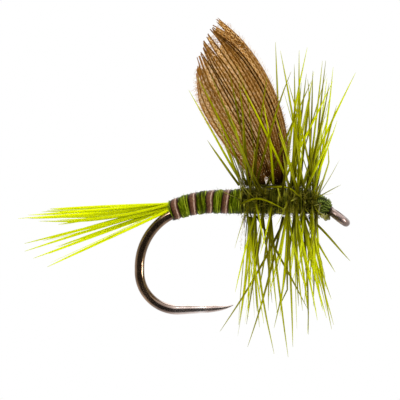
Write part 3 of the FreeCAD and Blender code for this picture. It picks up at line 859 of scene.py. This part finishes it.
def kinked(path, rng):
    """A broken barb: its last part is bent aside."""
    count = len(path)
    at = int(count * rng.uniform(0.62, 0.86))
    run = unit(path[at] - path[at - 2])
    aside = unit(np.cross(run, np.array([rng.gauss(0, 0.3), 1.0, rng.gauss(0, 0.3)])))
    turn = rng.choice((-1, 1)) * rng.uniform(0.12, 0.42)
    for n in range(at, count):
        reach = np.linalg.norm(path[n] - path[at])
        path[n] = path[at] + (run * cos(turn) + aside * sin(turn)) * reach
    return path


def hackle_barb(weave, rng, path, root_radius, tint, broken=0.07):
    """One barb: a flattened tapering strand, a little crooked, with a few stubs of barbules."""
    count = 22
    line = smooth(path, count) + wander(rng, count, 0.022)
    if rng.random() < broken:
        line = kinked(line, rng)
    t = np.linspace(0, 1, count)
    radii = root_radius * (1 - 0.18 * t - 0.72 * t ** 3.4)
    weave.tube(line, radii, 6, tint, 0.75, np.array([0.2, 1.0, 0.1]))
    for _ in range(rng.randint(1, 5)):
        n = rng.randrange(1, int(count * 0.8))
        run = unit(line[n + 1] - line[n])
        side = unit(np.cross(run, np.array([rng.gauss(0, 1), rng.gauss(0, 1), rng.gauss(0, 1)])))
        way = unit(run + side * rng.uniform(0.4, 1.0))
        length = rng.uniform(0.05, 0.14)
        weave.tube(straight(line[n], way, length, 3), (0.011, 0.008, 0.003), 3, tint)


PALE_SHARE, PALE_TINT = 0.04, 0.98
UPRIGHT = 0.6          # barbs above this count as fully up or down
THIN_BEHIND = -4.6     # the fans are thinner where barbs start or end behind this


def uprightness(path):
    """How much of a barb's reach is up or down, between 0 and 1."""
    reach = path[-1] - path[0]
    return min(abs(reach[2]) / np.linalg.norm(reach), 1.0)


def barb_tint(rng, path):
    """Most barbs are bright or mid olive, some dark, a few pale; the lower front ones brightest. Barbs
    that point sideways get painted shade.
    """
    tint = rng.choice((0.14, 0.26, 0.42, 0.54, 0.62, 0.72)) + rng.uniform(-0.06, 0.06)
    if rng.random() < PALE_SHARE and uprightness(path) > 0.7:
        return PALE_TINT
    # Painted shade: barbs that point sideways are darkened, as barbs lying in the fan's shade.
    sideways = 1.0 - min(uprightness(path) / UPRIGHT, 1.0)
    tint *= 1.0 - sideways * rng.choice((0.20, 0.60, 0.75))
    low_front = path[-1][2] < 0 and path[-1][0] > -3.2
    return min(tint + (0.06 if low_front else 0.0), 0.85)


def drawn_in(path):
    """A barb that points sideways stands straight out from the shank, without its lean."""
    kept = 0.25 + 0.75 * min(uprightness(path) / UPRIGHT, 1.0)
    drawn = path.copy()
    drawn[:, 0] = path[0, 0] + (path[:, 0] - path[0, 0]) * kept
    return drawn


# The stray barbs' tints from the tail to the eye, over the shank and under it.
STRAY_TINTS = (
    (0.40, 0.74, 0.60, 0.42, 0.22, 0.24, 0.26, 0.30, 0.28, 0.70, 0.50, 0.74, 0.72, 0.66, 0.30,
     0.56, 0.56, 0.74, 0.55, 0.93, 0.45),
    (0.62, 0.62, 0.55, 0.48, 0.26, 0.52, 0.34, 0.26, 0.52, 0.40, 0.74, 0.74, 0.72, 0.56, 0.38, 0.60),
)


def stray_piece(look):
    """The barbs that stand out of the fans, each with its own tint."""
    weave, rng = Weave(), random.Random(70)
    fibres = sorted(fibres_of("stray_hackle_barbs"), key=lambda fibre: fibre[0][0][0])
    over = [fibre for fibre in fibres if fibre[0][-1][2] > 0]
    under = [fibre for fibre in fibres if fibre[0][-1][2] <= 0]
    for group, tints in zip((over, under), STRAY_TINTS):
        for (path, halves), tint in zip(group, tints):
            hackle_barb(weave, rng, path, halves[0] * 1.2, tint, 0.0)
    weave.piece("stray_hackle_barbs_loose", [look], ["stray_hackle_barbs"], "hackle_barb")


def crossing_piece(look):
    """The barbs pressed back over the side of the thorax: a little thicker and brighter."""
    weave, rng = Weave(), random.Random(71)
    for path, halves in fibres_of("crossing_hackle_barbs"):
        hackle_barb(weave, rng, path, halves[0] * 0.95, 0.44, 0.0)
    weave.piece("crossing_hackle_barbs_loose", [look], ["crossing_hackle_barbs"], "hackle_barb")


def hackle_piece(node, look, seed, companions):
    """A turn's fan: each CAD barb, with a few thinner ones beside it."""
    weave, rng = Weave(), random.Random(seed)
    for path, halves in fibres_of(node):
        path = drawn_in(path)
        thin = path[-1][0] < THIN_BEHIND and rng.random() < 0.55
        width = halves[0] * (0.5 if thin else 1.08)
        shade = 0.6 if path[0][0] < THIN_BEHIND and path[-1][2] > 0 else 1.0
        tint = max(barb_tint(rng, path), 0.5 if thin else 0.0)
        hackle_barb(weave, rng, path, width, tint * shade)
        sparse = path[-1][2] < 0 and path[-1][0] < -4.0
        for _ in range(0 if sparse else rng.choice(companions)):
            root = path[0]
            reach = rng.uniform(0.55, 0.98)
            ahead = 0.06 if path[-1][2] > 0 else 0.0
            swing = np.array([rng.gauss(ahead, 0.10), rng.gauss(0, 0.10), rng.gauss(0, 0.05)])
            beside = root + (path - root) * reach
            grow = np.linspace(0, 1, len(path))[:, None] * np.linalg.norm(path[-1] - root)
            beside = beside + swing * grow + np.array([rng.gauss(0, 0.06), 0, 0])
            thick = halves[0] * rng.uniform(0.35, 0.75)
            hackle_barb(weave, rng, beside, thick, max(barb_tint(rng, path), 0.45))
    weave.piece(node + "_fan", [look], [node], "hackle_barb")


def down_piece(look):
    """Soft down: each strand carries long curling barbules."""
    weave, rng = Weave(), random.Random(17)
    for path, _ in fibres_of("hackle_down"):
        line = smooth(path, 26) + wander(rng, 26, 0.05)
        weave.tube(line, np.linspace(0.022, 0.006, 26), 5, rng.random())
        for n in range(1, 25):
            for _ in range(2):
                way = unit(np.array([rng.gauss(0, 1), rng.gauss(0, 1), rng.gauss(0.3, 1)]))
                length = rng.uniform(0.06, 0.24)
                hair = straight(line[n], way, length, 7) + wander(rng, 7, 0.05)
                weave.tube(hair, np.linspace(0.006, 0.002, 7), 3, rng.random())
    weave.piece("hackle_down_tufts", [look], ["hackle_down"], "down")


# ---- the wing

def gathered(paths, rng):
    """The barbs' ends drawn together into pointed clumps, as a parted slip's are."""
    starts, at = [], 0
    while at < len(paths):
        starts.append(at)
        at += rng.choice((2, 3, 4, 5))
    bounds = starts + [len(paths)]
    count = len(paths[0])
    t = np.linspace(0, 1, count)
    for first, last in zip(bounds[:-1], bounds[1:]):
        lead = paths[(first + last) // 2 if last - first > 1 else first]
        pull = 0.9 * np.clip((t - rng.uniform(0.78, 0.88)) / 0.20, 0, 1) ** 1.2
        for n in range(first, last):
            paths[n] = paths[n] + (lead - paths[n]) * pull[:, None]
    return paths, {last - 1 for last in bounds[1:]}


def bunched(paths):
    """The barbs' feet drawn together in two bunches, forward of where the barbs spread."""
    t = np.linspace(0, 1, len(paths[0]))
    pull = 0.9 * np.clip(1 - t / 0.13, 0, 1)
    parted = len(paths) // 3
    for n, path in enumerate(paths):
        lead = paths[parted // 2] if n < parted else paths[-5]
        paths[n] = path + (lead - path) * pull[:, None] * (0.75 if n < parted else 0.6)
    return paths


WING_ROWS = 90                 # points along each barb
WING_BARB_RADIUS = 0.052
WING_REAR, WING_FRONT = 7, 14  # the paler rear barbs end, and the darker vane begins, at these
VANE_COLUMNS = 6
VANE_SAG = 0.03
BARBULE_GAPS = 0.12            # the share of barbules that are missing
VANE_LOOK, BARB_LOOK, BARBULE_LOOK = 0, 1, 2


def vane_sheet(weave, rng, paths, n, side, torn):
    """The vane between a barb and the next. It ends short where the slip's tip is torn."""
    end = int(WING_ROWS * (rng.uniform(0.80, 0.90) if torn else rng.uniform(0.97, 1.0)))
    if n < WING_REAR:
        end = min(end, int(WING_ROWS * 0.93))
    start = int(WING_ROWS * 0.10)
    columns = []
    for part in np.linspace(0, 1, VANE_COLUMNS):
        column = paths[n] * (1 - part) + paths[n + 1] * part
        columns.append(column[start:end] - side * Y_AXIS * (VANE_SAG * sin(pi * part)))
    tint = rng.uniform(0.3, 0.6) if n > WING_FRONT else rng.uniform(0.45, 1.0)
    along = np.linspace(0, 1, WING_ROWS)[start:end]
    weave.sheet(np.stack(columns, axis=1), tint, look=VANE_LOOK, along=along)


def barbules(weave, rng, paths, n, way, side):
    """One side's barbules of a barb: across to the next barb, or loose at the slip's edge."""
    path, beyond = paths[n], n + way
    edge = not 0 <= beyond < len(paths)
    for m in sorted(list(range(2, WING_ROWS - 4)) * (2 if edge else 1)):
        run = unit(path[m + 1] - path[m])
        if edge:
            across = unit(np.cross(run, Y_AXIS)) * way
            if np.dot(across, path[m] - paths[n - way][m]) < 0:
                across = -across
            length = rng.uniform(0.06, 0.34)
        else:
            gap = paths[beyond][m] - path[m]
            across = unit(gap)
            length = np.linalg.norm(gap) * rng.uniform(0.7, 1.2)
        if rng.random() < BARBULE_GAPS:
            continue
        lean = unit(across + run * rng.uniform(0.5, 1.0)) * length
        lift = side * Y_AXIS * rng.uniform(0.0, 0.05)
        root = path[m] + side * Y_AXIS * 0.01
        if edge:
            widths, tint = (0.016, 0.014, 0.006), rng.uniform(0.3, 1.0)
        else:
            widths = (0.027, 0.021, 0.008)
            tint = rng.random() ** 0.8 * (0.8 if n > WING_FRONT else 1)
        hair = [root, root + lean * 0.5 + lift, root + lean + lift * 0.4]
        weave.ribbon(hair, widths, tint, Y_AXIS, BARBULE_LOOK)


def wing_piece(node, side, looks):
    """A slip: dark barbs, the vane between them, and barbules that hook across it."""
    weave, rng = Weave(), random.Random(31 + side)
    fibres = sorted((path for path, _ in fibres_of(node)), key=lambda path: path[0][0])
    paths, torn = gathered([smooth(path, WING_ROWS) for path in fibres], rng)
    paths = bunched(paths)
    t = np.linspace(0, 1, WING_ROWS)
    flare = np.clip((t - 0.75) / 0.25, 0, 1) ** 2
    for n, path in enumerate(paths):
        curl = np.array([-0.08, 0, 0.05]) * max(1 - n / WING_REAR, 0)
        paths[n] = path + wander(rng, WING_ROWS, 0.02) + flare[:, None] * curl
    for n in range(len(paths) - 1):
        vane_sheet(weave, rng, paths, n, side, n in torn)
    for n, path in enumerate(paths):
        foremost = n > len(paths) - 3
        thick = WING_BARB_RADIUS * (0.5 if foremost else 1)
        radii = thick * (1 - 0.40 * t) * (1 + 0.1 * np.sin(t * 70 + n))
        tint = rng.uniform(0.65, 1.0) if n < WING_REAR or foremost else rng.uniform(0.0, 0.75)
        weave.tube(path + side * Y_AXIS * 0.024, radii, 6, tint, 0.65, Y_AXIS, BARB_LOOK)
        for way in (-1, 1):
            barbules(weave, rng, paths, n, way, side)
    weave.piece(node + "_vane", looks, [node], "wing_barb")


def lashing_piece(look):
    weave, rng = Weave(), random.Random(5)
    steps, turns = 60, 2
    low, high = LASHING["heights"]
    path = []
    for n in range(steps * turns + 1):
        turned = 2 * pi * n / steps
        x = LASHING["centre"] + LASHING["half_length"] * cos(turned)
        z = low + (high - low) * n / (steps * turns) + rng.gauss(0, 0.002)
        path.append([x, LASHING["half_width"] * sin(turned), z])
    weave.tube(path, THREAD / 2, 10, 0.45)
    weave.piece("wing_lashing_thread", [look], ["wing_lashing"], "silk_thread")


# ---- tail and head

def tail_piece(node, look, seed, thick):
    """Each CAD fibre as a flattened strand, with a thinner one that splits from it."""
    weave, rng = Weave(), random.Random(seed)
    for path, halves in fibres_of(node):
        count = 30
        t = np.linspace(0, 1, count)
        path = np.vstack([path[0] - unit(path[1] - path[0]) * 0.35, path])
        line = smooth(path, count) + wander(rng, count, 0.03)
        radii = halves[0] * thick * (1 - 0.12 * t - 0.78 * t ** 6)
        weave.tube(line, radii, 8, rng.uniform(0.42, 0.85), 0.55, Y_AXIS)
        swing = np.array([0, rng.gauss(0, 0.03), rng.gauss(0, 0.013)])
        reach = rng.uniform(0.75, 1.0)
        far = np.linspace(0, 1, len(path))[:, None] * np.linalg.norm(path[-1] - path[0])
        beside = path[0] + (path - path[0]) * reach + swing * far
        line = smooth(beside, count) + wander(rng, count, 0.04)
        radii = halves[0] * rng.uniform(0.35, 0.6) * (1 - 0.1 * t - 0.8 * t ** 4)
        weave.tube(line, radii, 6, rng.uniform(0.25, 0.9), 0.7, Y_AXIS)
    weave.piece(node + "_strands", [look], [node], "tail_fibre")


def head_piece(look):
    """Turns of thread laid down the cone."""
    weave, rng = Weave(), random.Random(6)
    first, last = HEAD_SHAPE[0][0], HEAD_SHAPE[-1][0]
    weave.sheet(lathe(head_shape, first, last, 30, 48, sunk(0.045)), 0.3, closed=True)
    steps, turns = 44, 9
    places = []
    for n in range(steps * turns + 1):
        back = first + (last - first) * n / (steps * turns)
        radius, rise = head_shape(back)
        jitter = 0.008 * sin(n * 0.31) + rng.gauss(0, 0.0015)
        places.append((back, radius - 0.035 + jitter, 360 * n / steps, rise))
    path, outs = round_wire(places)
    weave.tube(path, 0.047, 10, 0.5, 1.0, outs)
    weave.piece("head_thread", [look], ["head_wraps"], "silk_thread")


def whip_piece(look):
    weave = Weave()
    back, pitch, turns, radii, thick = WHIP_FINISH.values()
    path, outs = wound_path(back, pitch, turns, radii, 0.0)
    weave.tube(path, thick / 2, 10, 0.6, 1.0, outs)
    weave.piece("whip_finish_thread", [look], ["whip_finish"], "silk_thread")


def cement_piece(look):
    """The varnish drop: lumpy skins round the given centres."""
    weave = Weave()
    for centre, radius in CEMENT_DROPS:
        rows, columns = 30, 40
        grid = np.zeros((rows, columns, 3))
        for row in range(rows):
            tilt = pi * (row + 0.02) / (rows - 0.96)
            for k in range(columns):
                turn = 2 * pi * k / columns
                out = np.array([sin(tilt) * cos(turn), sin(tilt) * sin(turn), cos(tilt)])
                lump = 1.1 + 0.14 * sin(5 * out[0] + 3 * out[2]) + 0.08 * sin(9 * out[1] + 2)
                grid[row, k] = np.array(centre) + out * radius * lump
        weave.sheet(grid, 0.5, closed=True)
    weave.piece("head_cement_drop", [look], ["head_cement"], "varnish")


def butts_piece(look):
    """The two clipped stems under the head, with crushed pithy ends."""
    weave = Weave()
    rows, droop, swell = 12, 0.05, 0.25
    for clock, back, length in STEM_BUTTS:
        root, _ = around_wire(back, STEM_BUTT_HEIGHT, clock, HEAD_SHAPE[0][2])
        path = straight(root, np.array([length, 0, -droop]), 1, rows)
        radii = STEM / 2 * (1 + swell * np.linspace(0, 1, rows) ** 3)
        weave.tube(path, radii, 14, 0.4, 0.9)
    weave.piece("hackle_stem_stubs", [look], ["hackle_stem_butts"], "hackle_stem")


# ---- everything

hook_piece()
GREEN_THREAD = thread("silk_thread", "080c00", "2a3808", "98a848")
QUILL_TAG = feather("quill_tag", [(0.2, "4a2f1c"), (0.5, "7d5a45"), (0.8, "b89b7c")], 0.5)
HACKLE = hackle()
STEM_LOOK = feather("hackle_stem", [(0.2, "2e2a02"), (0.5, "5c5608"), (0.8, "96903c")], 0.35, 0.6)
TAIL = feather("tail_fibre", [(0.15, "989e00"), (0.45, "bec802"), (0.75, "dae404")], 0.45, 0.2)
DOWN = feather("down", [(0.2, "b0a288"), (0.5, "d8ccb4"), (0.8, "fbf6ea")], 0.7)
BARB_BROWN = wing_barb()
BARBULE = feather("wing_barbule", [
    (0.15, "603806"), (0.4, "966018"), (0.6, "d09a54"), (0.8, "fce4c0"),
], 0.6)

underbody_piece(GREEN_THREAD)
bound_butts("tail_butts_bundle", "tail_butts", TAIL, "tail_fibre", (8.70, 6.10), 0.26, 0.11, 26, 8)
bound_butts("wing_butts_bundle", "wing_butts", BARB_BROWN, "wing_barb", (3.10, 1.30), 0.24, 0.20, 34, 9)
abdomen_piece()
rib_piece()
rib_tag_piece(QUILL_TAG)
thorax_piece()
stem_piece("rear_hackle_quill", "rear_hackle_stem", 4.24, 4, STEM_LOOK)
stem_piece("front_hackle_quill", "front_hackle_stem", 1.82, 5, STEM_LOOK)
for turn in range(1, 5):
    hackle_piece(f"rear_hackle_barbs_{turn}", HACKLE, 50 + turn, (0, 0, 1))
for turn in range(1, 6):
    hackle_piece(f"front_hackle_barbs_{turn}", HACKLE, 60 + turn, (0, 1, 1))
stray_piece(HACKLE)
crossing_piece(HACKLE)
down_piece(DOWN)
WING_LOOKS = [vane(), BARB_BROWN, BARBULE]
wing_piece("right_wing_slip", -1, WING_LOOKS)
wing_piece("left_wing_slip", 1, WING_LOOKS)
# Painted shade: the lashing is the same green thread, given much darker colours for the shade under the
# wing's base.
lashing_piece(thread("lashing_thread", "0c0a00", "221e04", "443e12"))
tail_piece("tail_upper_clump", TAIL, 81, 1.12)
tail_piece("tail_middle_fibres", TAIL, 82, 1.3)
tail_piece("tail_lower_clump", TAIL, 83, 1.3)
head_piece(GREEN_THREAD)
whip_piece(GREEN_THREAD)
cement_piece(varnish())
butts_piece(STEM_LOOK)


# ---- floor, light and camera

def floor():
    """A wide pale floor well below the fly, which is held up by its eye."""
    size, low = 0.4, -0.06
    mesh = bpy.data.meshes.new("floor")
    corners = [(-size, -size, low), (size, -size, low), (size, size, low), (-size, size, low)]
    mesh.from_pydata(corners, [], [(0, 1, 2, 3)])
    look = Look("floor_paint", 0.9)
    look.paint(look.ramp(look.noise(3.0, 4), [(0.3, "fbfbfb"), (0.7, "ffffff")]))
    mesh.materials.append(look.material)
    obj = added("floor", mesh)
    obj.visible_glossy = False


def aim(obj, target):
    """Points a lamp or camera at a place."""
    obj.rotation_euler = (Vector(target) - obj.location).to_track_quat("-Z", "Y").to_euler()


def lamp(name, way, distance, size, power):
    """A square lamp aimed at the fly. Way is its azimuth and elevation."""
    data = bpy.data.lights.new(name, "AREA")
    data.size, data.energy = size, power
    aim(added(name, data, MIDDLE + direction(*way) * distance), MIDDLE)


def direction(azimuth, elevation):
    """Outwards from the fly. Azimuth 0 is its right side, and 90 its front."""
    a, e = radians(azimuth), radians(elevation)
    return Vector((sin(a) * cos(e), -cos(a) * cos(e), sin(e)))


def studio():
    """A white room that shows white, dim on the fly's right and bright on its left."""
    world = bpy.data.worlds.new("studio")
    room = Nodes(world)
    way = room.node("ShaderNodeTexCoord").outputs["Generated"]
    across = room.node("ShaderNodeSeparateXYZ", {"Vector": way}).outputs["Y"]
    side = room.node("ShaderNodeMapRange", {
        "Value": across, "From Min": -0.65, "From Max": -0.1, "To Min": 0.03, "To Max": 0.9,
    }).outputs["Result"]
    seen = room.node("ShaderNodeLightPath").outputs["Is Camera Ray"]
    background = room.tree.nodes["Background"]
    background.inputs["Color"].default_value = (1, 1, 1, 1)
    room.tree.links.new(room.sum("MAXIMUM", seen, side), background.inputs["Strength"])
    bpy.context.scene.world = world


MIDDLE = Vector((-8.34, 0.0, 1.0)) * MM     # of the picture
CAMERA_WAY = (4.0, 3.0)                    # azimuth and elevation
CAMERA_DISTANCE = 0.25
floor()
studio()
lamp("key", (-30, 50), 0.5, 0.20, 1.4)
lamp("side", (72, -3), 0.5, 0.10, 1.3)
lamp("front", (15, 55), 0.6, 0.60, 1.3)
lamp("rim", (170, 50), 0.5, 0.30, 0.8)

data = bpy.data.cameras.new("camera")
data.lens, data.sensor_width, data.clip_start = 375.0, 36.0, 0.01
camera = added("camera", data, MIDDLE + direction(*CAMERA_WAY) * CAMERA_DISTANCE)
aim(camera, MIDDLE)
bpy.context.scene.camera = camera
bpy.context.scene.view_settings.view_transform = "Standard"
